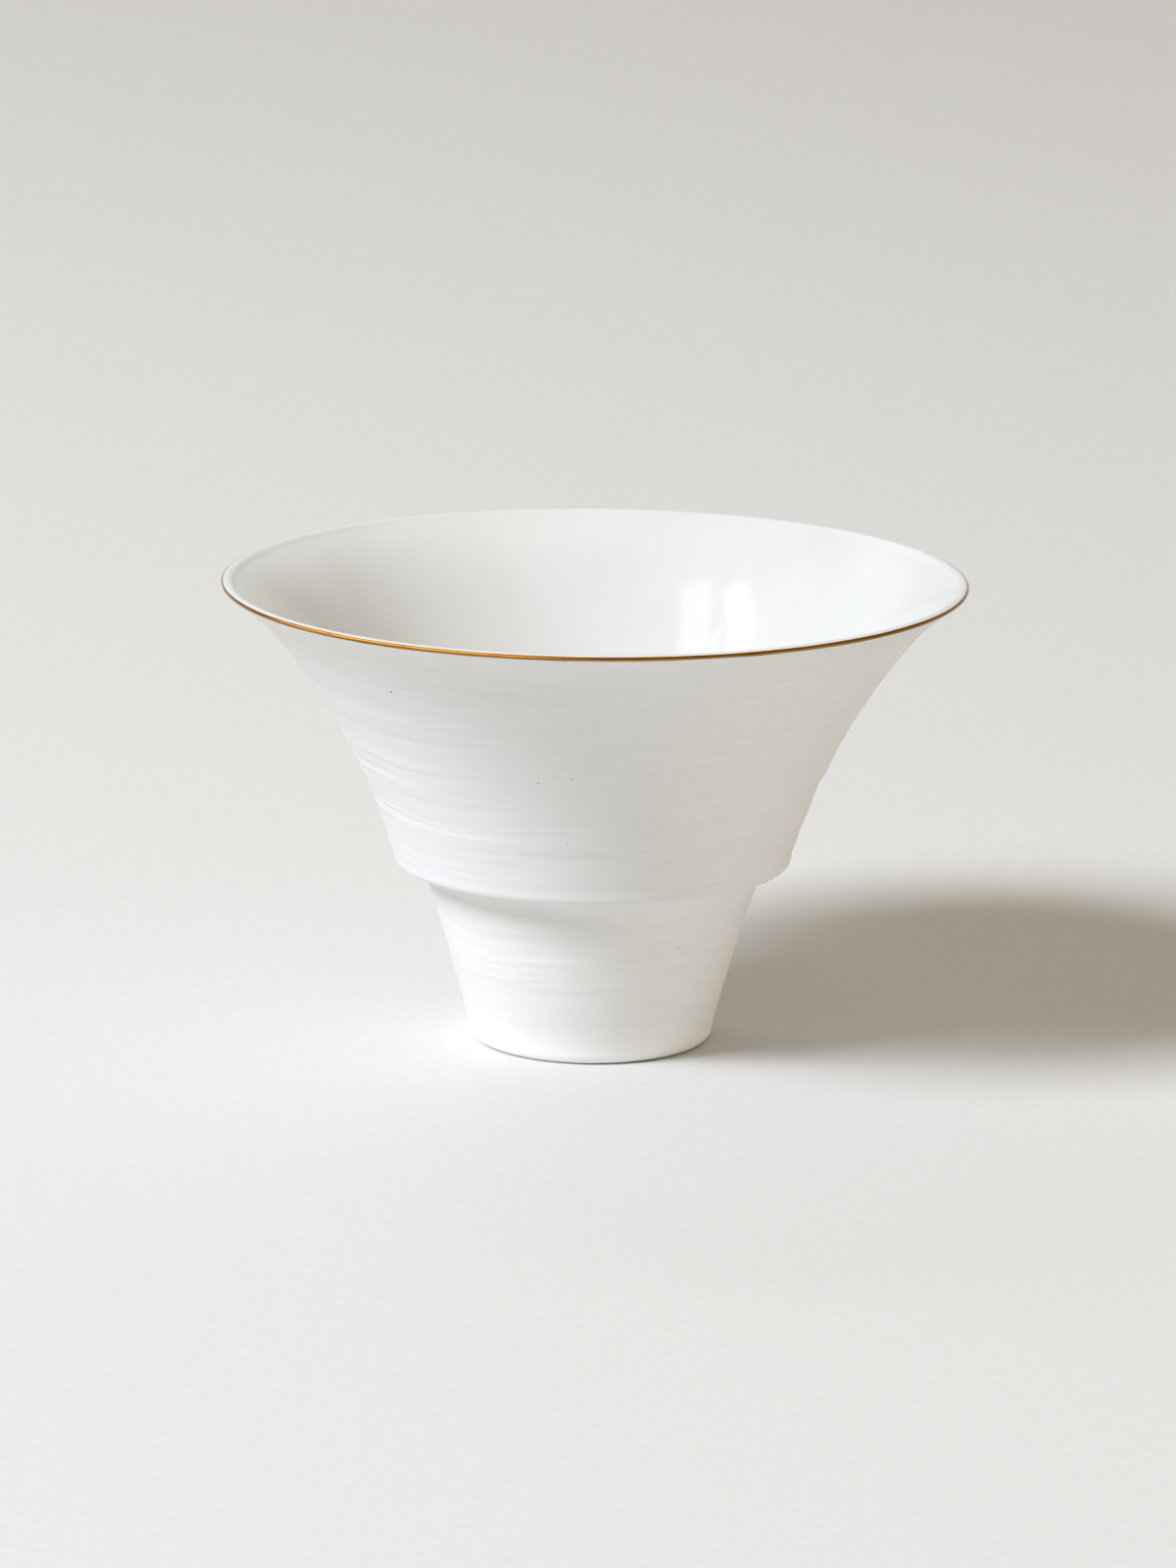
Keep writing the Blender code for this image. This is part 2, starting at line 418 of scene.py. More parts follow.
@dataclass(frozen=True)
class BrushBand:
    """Brush marks of one size: their spacing, their length round the cup and their depth."""

    spacing: float
    arc_deg: float
    depth: float
    seed: int

    def marks(self, down: np.ndarray, angle: np.ndarray) -> np.ndarray:
        """Smooth random heights, long round the cup and short down it.

        A lattice of random heights is read at (distance down, angle round) and blended
        between its four nearest values with weights that start and end level.

        Args:
            down: Distance down the wall at each grid point, in metres.
            angle: Angle round the cup at each grid point, in radians.

        Returns:
            The height of the marks at each grid point, in metres.
        """
        round_count = max(3, round(360.0 / self.arc_deg))
        down = (down - down.min()) / self.spacing
        around = (angle / TURN * round_count) % round_count
        lattice = np.random.default_rng(self.seed).normal(size=(int(down.max()) + 3, round_count))
        row, column = down.astype(int), around.astype(int) % round_count
        beside = (column + 1) % round_count
        down_share = eased(down - row, 0.0, 1.0)
        around_share = eased(around - np.floor(around), 0.0, 1.0)
        upper = lattice[row, column] * (1.0 - around_share) + lattice[row, beside] * around_share
        below = lattice[row + 1, column] * (1.0 - around_share) + lattice[row + 1, beside] * around_share
        return self.depth * (upper * (1.0 - down_share) + below * down_share)


@dataclass(frozen=True)
class Brushwork:
    """How a coat was laid on: bands of marks that wander, in stronger and weaker patches.

    No mark is higher or deeper than the limit, well inside the coat's own thickness.
    """

    bands: tuple[BrushBand, ...] = (
        BrushBand(spacing=1.7 * MM, arc_deg=75.0, depth=0.037 * MM, seed=11),
        BrushBand(spacing=0.8 * MM, arc_deg=48.0, depth=0.03 * MM, seed=12),
        BrushBand(spacing=0.36 * MM, arc_deg=26.0, depth=0.014 * MM, seed=13),
    )
    wander: BrushBand = BrushBand(spacing=9.0 * MM, arc_deg=33.0, depth=0.35 * MM, seed=14)
    patches: BrushBand = BrushBand(spacing=6.0 * MM, arc_deg=40.0, depth=0.8, seed=15)
    patch_floor: float = 0.35
    limit: float = 0.09 * MM

    def relief(self, down: np.ndarray, columns: int, strength: np.ndarray) -> np.ndarray:
        """Add up the bands over a grid.

        Args:
            down: Distance down the wall of each row, in metres.
            columns: How many steps make the circle.
            strength: Share of the full depth at each row.

        Returns:
            The coat's height over its even surface, for each row and column.
        """
        angle = np.broadcast_to(np.arange(columns) * TURN / columns, (len(down), columns))
        grid = np.broadcast_to(down[:, None], angle.shape)
        grid = grid + self.wander.marks(grid, angle)
        patch = self.patch_floor + np.abs(self.patches.marks(grid, angle))
        marks = sum(band.marks(grid, angle) for band in self.bands) * patch * strength[:, None]
        return self.limit * np.tanh(marks / self.limit)


def store_brush_field(piece: bpy.types.Object, along: np.ndarray, columns: int) -> None:
    """Give each point (cos a, sin a, distance along in mm), for patterns that follow the brush.

    Args:
        piece: The object made from the grid.
        along: Distance along the section of every row of the grid.
        columns: How many steps make the circle.
    """
    angle = np.broadcast_to(np.arange(columns) * TURN / columns, (len(along), columns))
    down = np.broadcast_to(along[:, None] / MM, angle.shape)
    values = np.stack([np.cos(angle), np.sin(angle), down], axis=-1)
    attribute = piece.data.attributes.new(BRUSH_FIELD, "FLOAT_VECTOR", "POINT")
    attribute.data.foreach_set("vector", values.reshape(-1).astype(np.float32))


# ---------------------------------------------------------------------------------------
# Finishes
# ---------------------------------------------------------------------------------------


def principled(name: str) -> tuple[bpy.types.Material, bpy.types.NodeTree, bpy.types.Node]:
    """Make a material and return it with its tree and its Principled shader."""
    material = bpy.data.materials.new(name)
    material.use_nodes = True
    tree = material.node_tree
    return material, tree, tree.nodes["Principled BSDF"]


def maths(tree: bpy.types.NodeTree, operation: str, first: object, second: object) -> bpy.types.NodeSocket:
    """Combine two values or sockets by a maths operation."""
    return add_node(tree, "ShaderNodeMath", {"operation": operation}, {0: first, 1: second}).outputs[0]


def brushed_noise(
    tree: bpy.types.NodeTree, spacing: float, reach: float, detail: float
) -> bpy.types.NodeSocket:
    """Noise drawn out round the cup and squeezed down it.

    Args:
        tree: The material's tree.
        spacing: Distance between the lines down the wall, in metres.
        reach: How many times the pattern changes round a radian.
        detail: Octaves of the noise.

    Returns:
        The noise's value.
    """
    brush = add_node(tree, "ShaderNodeAttribute", {"attribute_name": BRUSH_FIELD})
    stretched = add_node(
        tree,
        "ShaderNodeVectorMath",
        {"operation": "MULTIPLY"},
        {0: brush.outputs["Vector"], 1: (reach, reach, MM / spacing)},
    )
    noise = add_node(
        tree,
        "ShaderNodeTexNoise",
        None,
        {"Vector": stretched.outputs[0], "Scale": 1.0, "Detail": detail, "Roughness": 0.6},
    )
    return noise.outputs[0]


def ranged(
    tree: bpy.types.NodeTree, value: bpy.types.NodeSocket, low: float, high: float
) -> bpy.types.NodeSocket:
    """Map a noise's middle range onto low and high."""
    node = add_node(
        tree,
        "ShaderNodeMapRange",
        None,
        {"Value": value, "From Min": 0.3, "From Max": 0.7, "To Min": low, "To Max": high},
    )
    return node.outputs[0]


def blended(
    tree: bpy.types.NodeTree, share: bpy.types.NodeSocket, first: object, second: object
) -> bpy.types.NodeSocket:
    """Mix two colours by a share."""
    inputs = {"Factor": share, "A": first, "B": second}
    return add_node(tree, "ShaderNodeMix", {"data_type": "RGBA"}, inputs).outputs["Result"]


def surface_noise(tree: bpy.types.NodeTree, grain: float, detail: float) -> bpy.types.NodeSocket:
    """Noise on Object coordinates whose blotches are about grain metres wide."""
    place = add_node(tree, "ShaderNodeTexCoord")
    noise = add_node(
        tree,
        "ShaderNodeTexNoise",
        None,
        {"Vector": place.outputs["Object"], "Scale": 1.0 / grain, "Detail": detail},
    )
    return noise.outputs[0]


@dataclass(frozen=True)
class Speck:
    """A speck of iron burnt into the coat: its angle round the cup, height and radius."""

    angle_deg: float
    height: float
    radius: float


@dataclass(frozen=True)
class SlipFinish:
    """Porcelain slip, brushed on in coats and fired: satin white with fine combed lines, and painted light
    that whitens the coat near the foot's bottom.
    """

    light: str = "#EFEEEC"
    shade: str = "#E9E8E5"
    iron: str = "#3A342E"
    # Painted light: a brighter white for the coat's lowest part, standing in for light bounced up from the
    # bright paper.
    painted_floor_light: str = "#FBFBF9"
    painted_floor_light_height: float = 4.5 * MM
    line_spacing: float = 0.3 * MM
    line_reach: float = 3.0
    line_depth: float = 0.011 * MM
    roughness: tuple[float, float] = (0.42, 0.55)
    speck_edge: tuple[float, float] = (0.4, 1.2)
    ior: float = 1.5

    def material(self, form: CupForm, specks: tuple[Speck, ...]) -> bpy.types.Material:
        """Build the material.

        Args:
            form: The cup's form, which places the specks on its wall.
            specks: Iron specks to draw.

        Returns:
            The finished material.
        """
        material, tree, shader = principled("porcelain_slip_brushed")
        combed = brushed_noise(tree, self.line_spacing, self.line_reach, 3.0)
        bump = add_node(
            tree, "ShaderNodeBump", None, {"Height": combed, "Strength": 1.0, "Distance": self.line_depth}
        )
        colour = blended(tree, ranged(tree, combed, 0.0, 1.0), linear(self.light), linear(self.shade))
        place = add_node(tree, "ShaderNodeTexCoord").outputs["Object"]
        height = add_node(tree, "ShaderNodeSeparateXYZ", None, {0: place}).outputs["Z"]
        # Painted light: the colour brightens towards the foot's bottom over its lowest few millimetres,
        # standing in for light bounced up from the bright paper.
        fade = {"From Min": 0.0, "From Max": self.painted_floor_light_height, "To Min": 1.0, "To Max": 0.0}
        painted_floor_light = add_node(tree, "ShaderNodeMapRange", None, {"Value": height, **fade}).outputs[0]
        colour = blended(tree, painted_floor_light, colour, linear(self.painted_floor_light))
        for speck in specks:
            colour = self.with_speck(tree, form, speck, place, colour)
        tree.links.new(colour, shader.inputs["Base Color"])
        tree.links.new(ranged(tree, combed, *self.roughness), shader.inputs["Roughness"])
        tree.links.new(bump.outputs[0], shader.inputs["Normal"])
        shader.inputs["IOR"].default_value = self.ior
        return material

    def with_speck(
        self,
        tree: bpy.types.NodeTree,
        form: CupForm,
        speck: Speck,
        place: bpy.types.NodeSocket,
        colour: bpy.types.NodeSocket,
    ) -> bpy.types.NodeSocket:
        """Darken the coat where the distance to a speck's middle is under about its radius."""
        radius = form.skin_radius(speck.height)
        angle = math.radians(speck.angle_deg)
        middle = (radius * math.cos(angle), radius * math.sin(angle), speck.height)
        away = add_node(tree, "ShaderNodeVectorMath", {"operation": "DISTANCE"}, {0: place, 1: middle})
        start, end = (speck.radius * share for share in self.speck_edge)
        edge = {"From Min": start, "From Max": end, "To Min": 1.0, "To Max": 0.0}
        inside = add_node(tree, "ShaderNodeMapRange", None, {"Value": away.outputs["Value"], **edge})
        return blended(tree, inside.outputs[0], colour, linear(self.iron))


@dataclass(frozen=True)
class GlazeFinish:
    """Clear feldspar glaze over white porcelain: a hard bright gloss with a slow ripple."""

    name: str
    light: str = "#DEDDD9"
    pooled: str = "#DAD9D5"
    ripple_width: float = 7.0 * MM
    ripple_depth: float = 0.05 * MM
    pool_width: float = 11.0 * MM
    roughness: tuple[float, float] = (0.09, 0.13)
    ior: float = 1.5

    def material(self) -> bpy.types.Material:
        """Build the material."""
        material, tree, shader = principled(self.name)
        ripple = surface_noise(tree, self.ripple_width, 1.0)
        bump = add_node(
            tree, "ShaderNodeBump", None, {"Height": ripple, "Strength": 1.0, "Distance": self.ripple_depth}
        )
        pooling = ranged(tree, surface_noise(tree, self.pool_width, 2.0), 0.0, 1.0)
        colour = blended(tree, pooling, linear(self.light), linear(self.pooled))
        tree.links.new(colour, shader.inputs["Base Color"])
        tree.links.new(ranged(tree, ripple, *self.roughness), shader.inputs["Roughness"])
        tree.links.new(bump.outputs[0], shader.inputs["Normal"])
        shader.inputs["IOR"].default_value = self.ior
        return material


@dataclass(frozen=True)
class ClayFinish:
    """Bare fired porcelain, wiped and polished: a dry, faintly grained white."""

    light: str = "#EAE7E0"
    shade: str = "#DEDAD1"
    grain: float = 0.25 * MM
    grain_depth: float = 0.012 * MM
    roughness: tuple[float, float] = (0.6, 0.75)

    def material(self) -> bpy.types.Material:
        """Build the material."""
        material, tree, shader = principled("porcelain_bisque_bare")
        grain = surface_noise(tree, self.grain, 3.0)
        bump = add_node(
            tree, "ShaderNodeBump", None, {"Height": grain, "Strength": 1.0, "Distance": self.grain_depth}
        )
        colour = blended(tree, ranged(tree, grain, 0.0, 1.0), linear(self.light), linear(self.shade))
        tree.links.new(colour, shader.inputs["Base Color"])
        tree.links.new(ranged(tree, grain, *self.roughness), shader.inputs["Roughness"])
        tree.links.new(bump.outputs[0], shader.inputs["Normal"])
        return material


@dataclass(frozen=True)
class GoldFinish:
    """Liquid bright gold, banded on by hand and fired: soft-edged metal, thinner in places."""

    full: str = "#BC8634"
    thin: str = "#8A5820"
    stroke: float = 0.12 * MM
    stroke_depth: float = 0.01 * MM
    roughness: tuple[float, float] = (0.14, 0.26)

    def material(self) -> bpy.types.Material:
        """Build the material."""
        material, tree, shader = principled("liquid_gold_banded")
        strokes = brushed_noise(tree, self.stroke, 9.0, 3.0)
        bump = add_node(
            tree, "ShaderNodeBump", None, {"Height": strokes, "Strength": 1.0, "Distance": self.stroke_depth}
        )
        colour = blended(tree, ranged(tree, strokes, 0.0, 1.0), linear(self.full), linear(self.thin))
        tree.links.new(colour, shader.inputs["Base Color"])
        tree.links.new(ranged(tree, strokes, *self.roughness), shader.inputs["Roughness"])
        tree.links.new(bump.outputs[0], shader.inputs["Normal"])
        shader.inputs["Metallic"].default_value = 1.0
        return material


# ---------------------------------------------------------------------------------------
# The cup's pieces
# ---------------------------------------------------------------------------------------


def mount_piece(
    piece: bpy.types.Object, material: bpy.types.Material, slot: Slot, *nodes: str
) -> bpy.types.Object:
    """Dress a piece, fix it to the cup and let it stand for the model's own nodes."""
    piece.data.materials.append(material)
    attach(piece, "root")
    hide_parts(*nodes)
    LOG.info("%s: %d faces for %s", piece.name, len(piece.data.polygons), ", ".join(nodes))
    return piece


@dataclass
class Clay:
    """The fired body. It shows only at the foot ring and lies under the coats elsewhere."""

    form: CupForm
    section: Section
    columns: int = 256
    rows: int = 300
    inset: float = 0.15 * MM
    feather: float = 0.5 * MM
    bare_share: float = 0.9
    bare_inside: float = 0.8 * MM
    finish: ClayFinish = field(default_factory=ClayFinish)

    def build(self) -> bpy.types.Object:
        """Sink the section under the coats, except from the foot's edge to inside the ring."""
        form = self.form
        along = np.linspace(0.0, self.section.run[-1], self.rows)
        bare_from = self.section.station(form.foot_radius - self.bare_share * form.foot_edge_round, 0.0)
        bare_to = self.section.station(form.recess_radius, self.bare_inside)
        covered = 1.0 - eased(along, bare_from - self.feather, bare_from)
        covered += eased(along, bare_to, bare_to + self.feather)
        grid = self.section.surface(along, self.columns, -self.inset * covered[:, None])
        return turned_object("clay_body", grid, poles=True)

    def add(self) -> bpy.types.Object:
        """Build the clay, dress it and mount it."""
        return mount_piece(self.build(), self.finish.material(), Slot.CLAY, "porcelain_body")


@dataclass
class SlipCoats:
    """The brushed coats outside: one on the bowl and one on the foot."""

    form: CupForm
    section: Section
    columns: int = 330
    row_spacing: float = 0.15 * MM
    thickness: float = 0.3 * MM
    sink: float = 0.03 * MM
    back_rows: int = 30
    edge_run: float = 1.0 * MM
    overlap: float = 0.1 * MM
    foot_reach: float = 0.8
    bowl_strength: Strength = (
        (0.0, 0.0), (0.05, 0.2), (0.2, 0.55), (0.4, 1.0), (0.93, 0.9), (1.0, 0.2)
    )
    foot_strength: Strength = ((0.0, 0.3), (0.1, 1.0), (0.45, 0.6), (0.7, 0.12), (1.0, 0.0))
    brushwork: Brushwork = field(default_factory=Brushwork)
    finish: SlipFinish = field(default_factory=SlipFinish)
    specks: tuple[Speck, ...] = (
        Speck(-129.4, 43.35 * MM, 0.15 * MM),
        Speck(-102.2, 34.0 * MM, 0.1 * MM),
        Speck(-94.5, 34.7 * MM, 0.09 * MM),
        Speck(-96.3, 26.9 * MM, 0.09 * MM),
        Speck(-56.0, 13.15 * MM, 0.1 * MM),
    )

    def coat(self, name: str, start: float, end: float, strength: Strength) -> bpy.types.Object:
        """Make one coat: a brushed face and a plain back that meet at two buried edges.

        Args:
            name: The piece's name.
            start: Distance along the section where the coat begins.
            end: Distance where it ends.
            strength: Brush strength by share of the way down.

        Returns:
            The coat's object, with its brush field.
        """
        face = np.linspace(start, end, int((end - start) / self.row_spacing))
        share = (face - start) / (end - start)
        weight = np.interp(share, *zip(*strength))
        buried = 1.0 - eased(face, start, start + self.edge_run)
        buried += eased(face, end - self.edge_run, end)
        relief = self.brushwork.relief(face - start, self.columns, weight)
        lift = relief - self.sink * buried[:, None]
        back = np.linspace(end, start, self.back_rows)
        along = np.concatenate([face, back])
        lift = np.vstack([lift, np.full((len(back), self.columns), -self.thickness)])
        piece = turned_object(name, self.section.surface(along, self.columns, lift), poles=False)
        store_brush_field(piece, along, self.columns)
        return piece

    def add(self) -> tuple[bpy.types.Object, bpy.types.Object]:
        """Build the bowl's and the foot's coats, dress them alike and mount them."""
        form, section = self.form, self.section
        material = self.finish.material(form, self.specks)
        gold_edge = section.station(form.rim_radius, form.wall_top)
        crease = section.station(form.foot_top_radius, form.shelf_height)
        foot_end = section.station(form.foot_radius - self.foot_reach * form.foot_edge_round, 0.0)
        bowl = self.coat("slip_on_bowl", gold_edge, crease, self.bowl_strength)
        foot = self.coat("slip_on_foot", crease - self.overlap, foot_end, self.foot_strength)
        mount_piece(bowl, material, Slot.SLIP, "outer_slip_bowl")
        mount_piece(foot, material, Slot.SLIP, "outer_slip_foot")
        return bowl, foot


@dataclass
class GlazeLining:
    """The clear glaze from the middle of the floor up and over the lip to the gold."""

    form: CupForm
    section: Section
    columns: int = 300
    rows: int = 240
    back_rows: int = 80
    lip_inset: float = 0.05 * MM
    lip_rise: float = 0.12 * MM
    thickness: float = 0.3 * MM
    finish: GlazeFinish = GlazeFinish("clear_glaze_gloss")

    def add(self) -> bpy.types.Object:
        """Build a face and a back that meet over the lip, dress and mount them."""
        form = self.form
        lip = self.section.station(form.rim_radius - self.lip_inset, form.wall_top + self.lip_rise)
        face = np.linspace(0.0, lip, self.rows)
        back = np.linspace(lip, 0.0, self.back_rows)
        along = np.concatenate([face, back])
        lift = np.concatenate([np.zeros(self.rows), np.full(self.back_rows, -self.thickness)])[:, None]
        grid = self.section.surface(along, self.columns, lift)
        piece = turned_object("glaze_lining", grid, poles=True)
        return mount_piece(piece, self.finish.material(), Slot.GLAZE, "inner_glaze")


@dataclass
class BaseGlaze:
    """The glaze in the recess under the base, inside the bare foot ring."""

    form: CupForm
    section: Section
    columns: int = 192
    rows: int = 70
    back_rows: int = 30
    edge_height: float = 0.9 * MM
    edge_run: float = 0.5 * MM
    edge_sink: float = 0.02 * MM
    thickness: float = 0.3 * MM
    finish: GlazeFinish = GlazeFinish("base_glaze_gloss", roughness=(0.1, 0.16))

    def add(self) -> bpy.types.Object:
        """Build a face and a back that meet above the ring, dress and mount them."""
        start = self.section.station(self.form.recess_radius, self.edge_height)
        end = self.section.run[-1]
        back = np.linspace(end, start, self.back_rows)
        face = np.linspace(start, end, self.rows)
        edge = -self.edge_sink * (1.0 - eased(face, start, start + self.edge_run))
        along = np.concatenate([back, face])
        lift = np.concatenate([np.full(self.back_rows, -self.thickness), edge])[:, None]
        grid = self.section.surface(along, self.columns, lift)
        piece = turned_object("glaze_under_base", grid, poles=True)
        return mount_piece(piece, self.finish.material(), Slot.BASE, "underside_glaze")


@dataclass
class GoldLine:
    """The hand-banded gold line over the outer edge of the lip."""

    form: CupForm
    section: Section
    columns: int = 720
    rows: int = 16
    back_rows: int = 5
    above: float = 0.3 * MM
    below: float = 0.27 * MM
    film: float = 0.025 * MM
    edge_sink: float = 0.004 * MM
    depth: float = 0.12 * MM
    top_waver: BrushBand = BrushBand(spacing=1.0, arc_deg=7.0, depth=0.022 * MM, seed=21)
    low_waver: BrushBand = BrushBand(spacing=1.0, arc_deg=5.0, depth=0.025 * MM, seed=22)
    finish: GoldFinish = field(default_factory=GoldFinish)

    def add(self) -> bpy.types.Object:
        """Build a rounded film whose two edges waver as a banding brush does."""
        corner = self.section.station(self.form.rim_radius, self.form.wall_top)
        angle = (np.arange(self.columns) * TURN / self.columns)[None, :]
        level = np.zeros_like(angle)
        top = corner - self.above + self.top_waver.marks(level, angle)
        low = corner + self.below + self.low_waver.marks(level, angle)
        share = np.linspace(0.0, 1.0, self.rows)[:, None]
        face = top + (low - top) * share
        back = low + (top - low) * np.linspace(0.0, 1.0, self.back_rows)[:, None]
        crown = self.film * (1.0 - (2.0 * share - 1.0) ** 4) - self.edge_sink
        sunk = np.full((self.back_rows, self.columns), -self.depth)
        lift = np.vstack([crown * np.ones_like(angle), sunk])
        along = np.vstack([face, back])
        piece = turned_object("gold_line", self.section.surface(along, self.columns, lift), poles=False)
        store_brush_field(piece, along.mean(axis=1), self.columns)
        return mount_piece(piece, self.finish.material(), Slot.GOLD, "gold_rim")


# ---------------------------------------------------------------------------------------
# The studio
# ---------------------------------------------------------------------------------------


@dataclass(frozen=True)
class Lamp:
    """A soft rectangular lamp that faces the cup.

    A window that only lights matt surfaces and cards that only show in glossy ones let the
    shadows and the reflections be set apart, as flags and cards do in a studio.
    """

    name: str
    azimuth_deg: float
    height_deg: float
    width: float
    height: float
    power: float
    colour: str
    lean_deg: float = 0.0
    distance: float = 2.0
    seen_in_gloss: bool = True
    lights_matt: bool = True

    def add(self) -> bpy.types.Object:
        """Hang the lamp at its direction and distance from the cup's foot."""
        azimuth, height = math.radians(self.azimuth_deg), math.radians(self.height_deg)
        level = math.cos(height)
        towards = Vector((math.cos(azimuth) * level, math.sin(azimuth) * level, math.sin(height)))
        lamp = bpy.data.lights.new(self.name, "AREA")
        lamp.shape = "RECTANGLE"
        lamp.size, lamp.size_y = self.width, self.height
        lamp.energy = self.power
        lamp.color = linear(self.colour)[:3]
        holder = bpy.data.objects.new(self.name, lamp)
        turned = towards.to_track_quat("Z", "Y").to_matrix()
        turned = turned @ Matrix.Rotation(math.radians(self.lean_deg), 3, "Z")
        holder.matrix_world = Matrix.Translation(towards * self.distance) @ turned.to_4x4()
        holder.visible_glossy = self.seen_in_gloss
        holder.visible_diffuse = self.lights_matt
        bpy.context.scene.collection.objects.link(holder)
        return holder


@dataclass(frozen=True)
class Glow:
    """A broad patch of the room's light.

    Its brightness in a direction is strength x cos(angle from the middle)^2, squeezed towards
    the horizon by (1 - height^2)^flatness, where height is the direction's own Z.
    """

    middle: tuple[float, float, float]
    strength: float
    colour: str
    flatness: float = 0.0

    def light(self, tree: bpy.types.NodeTree, direction: bpy.types.NodeSocket) -> bpy.types.NodeSocket:
        """Give the patch's light for a direction, as a colour."""
        facing = add_node(
            tree, "ShaderNodeVectorMath", {"operation": "DOT_PRODUCT"}, {0: direction, 1: self.middle}
        )
        share = maths(tree, "POWER", maths(tree, "MAXIMUM", facing.outputs["Value"], 0.0), 2.0)
        height = add_node(tree, "ShaderNodeSeparateXYZ", None, {0: direction}).outputs["Z"]
        level = maths(tree, "SUBTRACT", 1.0, maths(tree, "MULTIPLY", height, height))
        share = maths(tree, "MULTIPLY", share, maths(tree, "POWER", level, self.flatness))
        colour = tuple(self.strength * part for part in linear(self.colour)[:3])
        scaled = {0: colour, "Scale": share}
        return add_node(tree, "ShaderNodeVectorMath", {"operation": "SCALE"}, scaled).outputs[0]


@dataclass
class Studio:
    """A pale paper sweep, a cool window on the left and a warm, dim room round it."""

    window: Lamp = Lamp("window", 210.6, 43.0, 0.66, 0.6, 48.5, "#E7EFFC", seen_in_gloss=False)
    cards: tuple[Lamp, ...] = (
        Lamp("card_left", 207.0, 54.0, 0.35, 0.68, 1.8, "#FFFFFF", lean_deg=9.0, lights_matt=False),
        Lamp("card_right", 183.0, 47.5, 0.29, 0.66, 1.45, "#FFFFFF", lean_deg=-9.0, lights_matt=False),
        Lamp("card_sill", 196.0, 45.0, 0.15, 0.38, 0.4, "#FFFFFF", lights_matt=False),
    )
    wall_glow: Lamp = Lamp(
        "wall_glow", -15.0, 6.0, 1.0, 1.0, 6.0, "#FFF3E2", distance=1.2, seen_in_gloss=False
    )
    foot_glow: Lamp = Lamp(
        "foot_glow", -125.0, 3.0, 0.8, 0.8, 1.9, "#FFF6EA", distance=1.2, seen_in_gloss=False
    )
    lining_glow: Lamp = Lamp(
        "lining_glow", 0.0, 35.0, 1.0, 1.0, 3.8, "#FAFAF4", distance=1.2, seen_in_gloss=False
    )
    gilt_light: Lamp = Lamp("gilt_light", 204.0, 38.0, 2.6, 0.9, 27.0, "#FFF6E6", distance=1.2)
    rear_light: Lamp = Lamp(
        "rear_light", 108.0, 32.0, 1.0, 1.0, 10.0, "#FFFFFF", distance=1.9, seen_in_gloss=False
    )
    glows: tuple[Glow, ...] = (
        Glow((0.0, 0.0, 1.0), 0.63, "#FFEFD4"),
        Glow((1.0, 0.0, 0.0), 0.62, "#FFF7E2", flatness=8.0),
    )
    paper: str = "#E4E2DE"
    paper_flecks: str = "#E0DED9"
    paper_roughness: float = 0.85
    fibre_width: float = 1.2 * MM
    fibre_depth: float = 0.05 * MM

    def light_only(self, lamp: Lamp, *pieces: bpy.types.Object) -> None:
        """Hang a lamp that lights the pieces given and nothing else.

        Args:
            lamp: The lamp to hang.
            *pieces: The pieces it lights.
        """
        lit = bpy.data.collections.new(lamp.name)
        for piece in pieces:
            lit.objects.link(piece)
        lamp.add().light_linking.receiver_collection = lit

    def light_porcelain(
        self,
        bowl: bpy.types.Object,
        foot: bpy.types.Object,
        lining: bpy.types.Object,
        gilding: bpy.types.Object,
    ) -> None:
        """Light the pieces that daylight comes through, and give the gold its bright side.

        Soft lamps stand in for the light that passes through the thin wall, both ways, and for
        the light the foot gathers from the paper. The gold shines with the window's daylight.

        Args:
            bowl: The bowl's coat.
            foot: The foot's coat.
            lining: The glaze inside the bowl.
            gilding: The gold line.
        """
        self.light_only(self.wall_glow, bowl, foot)
        self.light_only(self.foot_glow, foot)
        self.light_only(self.lining_glow, lining)
        self.light_only(self.gilt_light, gilding)

    def add_room(self) -> None:
        """Light the room with warm glows: one overhead and one on the side away from the window."""
        world = bpy.data.worlds.new("room")
        bpy.context.scene.world = world
        world.use_nodes = True
        tree = world.node_tree
        tree.nodes.clear()
        direction = add_node(tree, "ShaderNodeTexCoord").outputs["Generated"]
        total: object = (0.0, 0.0, 0.0)
        for glow in self.glows:
            light = glow.light(tree, direction)
            both = {0: light, 1: total}
            total = add_node(tree, "ShaderNodeVectorMath", {"operation": "ADD"}, both).outputs[0]
        background = add_node(tree, "ShaderNodeBackground", None, {"Color": total, "Strength": 1.0})
        add_node(tree, "ShaderNodeOutputWorld", None, {"Surface": background.outputs[0]})

    def paper_material(self) -> bpy.types.Material:
        """Uncoated paper: matt, with fine fibres."""
        material, tree, shader = principled("uncoated_paper")
        fibres = surface_noise(tree, self.fibre_width, 6.0)
        bump = add_node(
            tree, "ShaderNodeBump", None, {"Height": fibres, "Strength": 0.3, "Distance": self.fibre_depth}
        )
        flecks = ranged(tree, fibres, 0.0, 1.0)
        colour = blended(tree, flecks, linear(self.paper), linear(self.paper_flecks))
        tree.links.new(colour, shader.inputs["Base Color"])
        tree.links.new(bump.outputs[0], shader.inputs["Normal"])
        shader.inputs["Roughness"].default_value = self.paper_roughness
        return material

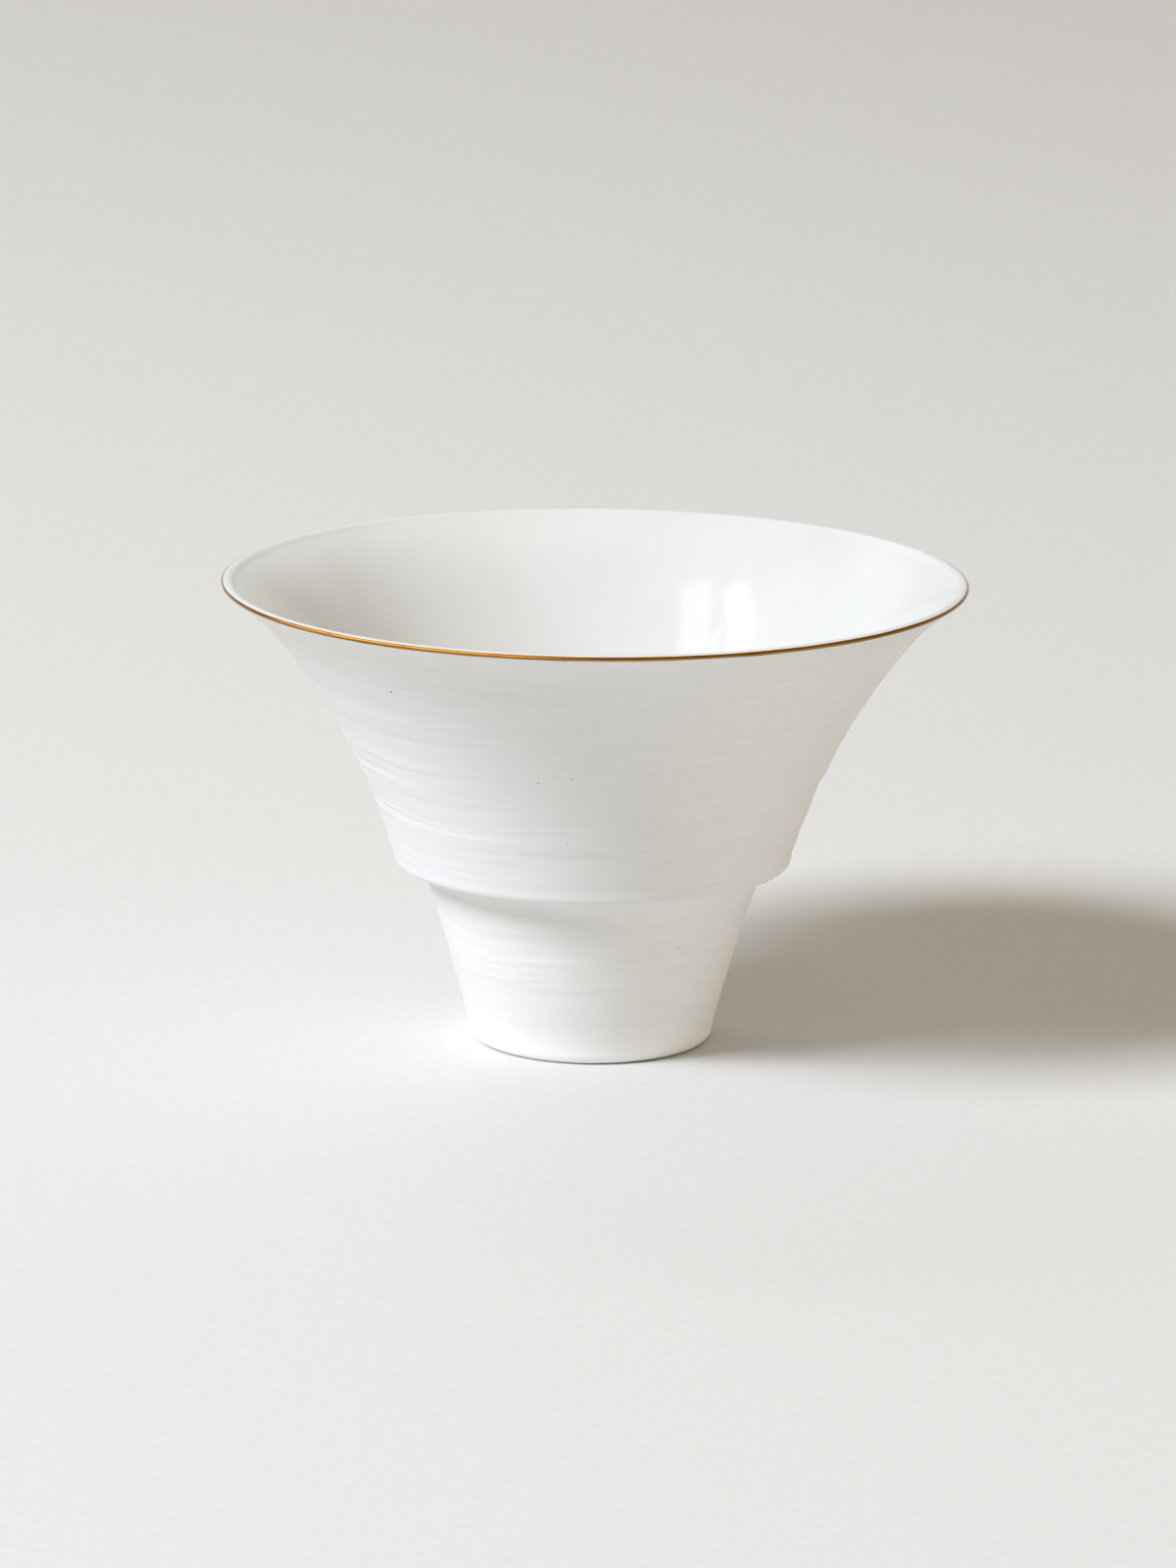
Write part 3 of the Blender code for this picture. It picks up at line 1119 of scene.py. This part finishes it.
    def add_sweep(self) -> bpy.types.Object:
        """Lay the paper flat under the cup and curve it up behind, a quarter circle."""
        half_width, front, bend, radius, top = 1.8, -1.2, 1.05, 0.35, 1.4
        turn = np.linspace(0.0, math.pi / 2.0, 24)
        depth = np.concatenate([[front, bend * 0.5], bend + radius * np.sin(turn), [bend + radius]])
        height = np.concatenate([[0.0, 0.0], radius * (1.0 - np.cos(turn)), [top]])
        across = np.linspace(-half_width, half_width, 9)
        grid = np.stack(
            np.broadcast_arrays(across[None, :], depth[:, None], height[:, None]), axis=-1
        )
        rows, columns = grid.shape[:2]
        start = (np.arange(rows - 1)[:, None] * columns + np.arange(columns - 1)).reshape(-1, 1)
        faces = (start + np.array([0, 1, columns + 1, columns])).tolist()
        mesh = bpy.data.meshes.new("paper_sweep")
        mesh.from_pydata(grid.reshape(-1, 3).tolist(), [], faces)
        mesh.shade_smooth()
        mesh.materials.append(self.paper_material())
        sweep = bpy.data.objects.new("paper_sweep", mesh)
        bpy.context.scene.collection.objects.link(sweep)
        return sweep

    def set_up(self) -> None:
        """Lay the paper, hang the window and light the room, shown without a film look."""
        self.add_sweep()
        for lamp in (self.window, *self.cards, self.rear_light):
            lamp.add()
        self.add_room()
        bpy.context.scene.view_settings.view_transform = "Standard"


@dataclass(frozen=True)
class Viewpoint:
    """Where the camera stands, in metres and degrees, and how long its lens is."""

    back: float = 0.71784
    height: float = 0.1965
    tilt_down_deg: float = 13.227
    roll_deg: float = -0.570
    turn_deg: float = -0.044
    lens_mm: float = 157.5
    film_mm: float = 36.0

    def add(self) -> bpy.types.Object:
        """Make the camera from its right, up and backward directions."""
        tilt, roll, turn = (math.radians(a) for a in (self.tilt_down_deg, self.roll_deg, self.turn_deg))
        ahead = Vector((math.sin(turn) * math.cos(tilt), math.cos(turn) * math.cos(tilt), -math.sin(tilt)))
        level = Vector((math.cos(turn), -math.sin(turn), 0.0))
        above = level.cross(ahead)
        right = math.cos(roll) * level - math.sin(roll) * above
        top = math.sin(roll) * level + math.cos(roll) * above
        camera = bpy.data.cameras.new("camera")
        camera.lens = self.lens_mm
        camera.sensor_width = self.film_mm
        camera.sensor_fit = "AUTO"
        holder = bpy.data.objects.new("camera", camera)
        turned = Matrix((right, top, -ahead)).transposed().to_4x4()
        holder.matrix_world = Matrix.Translation((0.0, -self.back, self.height)) @ turned
        bpy.context.scene.collection.objects.link(holder)
        bpy.context.scene.camera = holder
        return holder


def main() -> None:
    """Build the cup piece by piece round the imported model, then the studio and the camera."""
    logging.basicConfig(level=logging.INFO, format="%(name)s: %(message)s")
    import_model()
    Viewpoint().add()
    studio = Studio()
    studio.set_up()
    form = CupForm.from_model()
    section = form.section()
    Clay(form, section).add()
    bowl_coat, foot_coat = SlipCoats(form, section).add()
    lining = GlazeLining(form, section).add()
    BaseGlaze(form, section).add()
    gilding = GoldLine(form, section).add()
    studio.light_porcelain(bowl_coat, foot_coat, lining, gilding)
    bpy.context.view_layer.update()


if __name__ == "__main__":
    main()
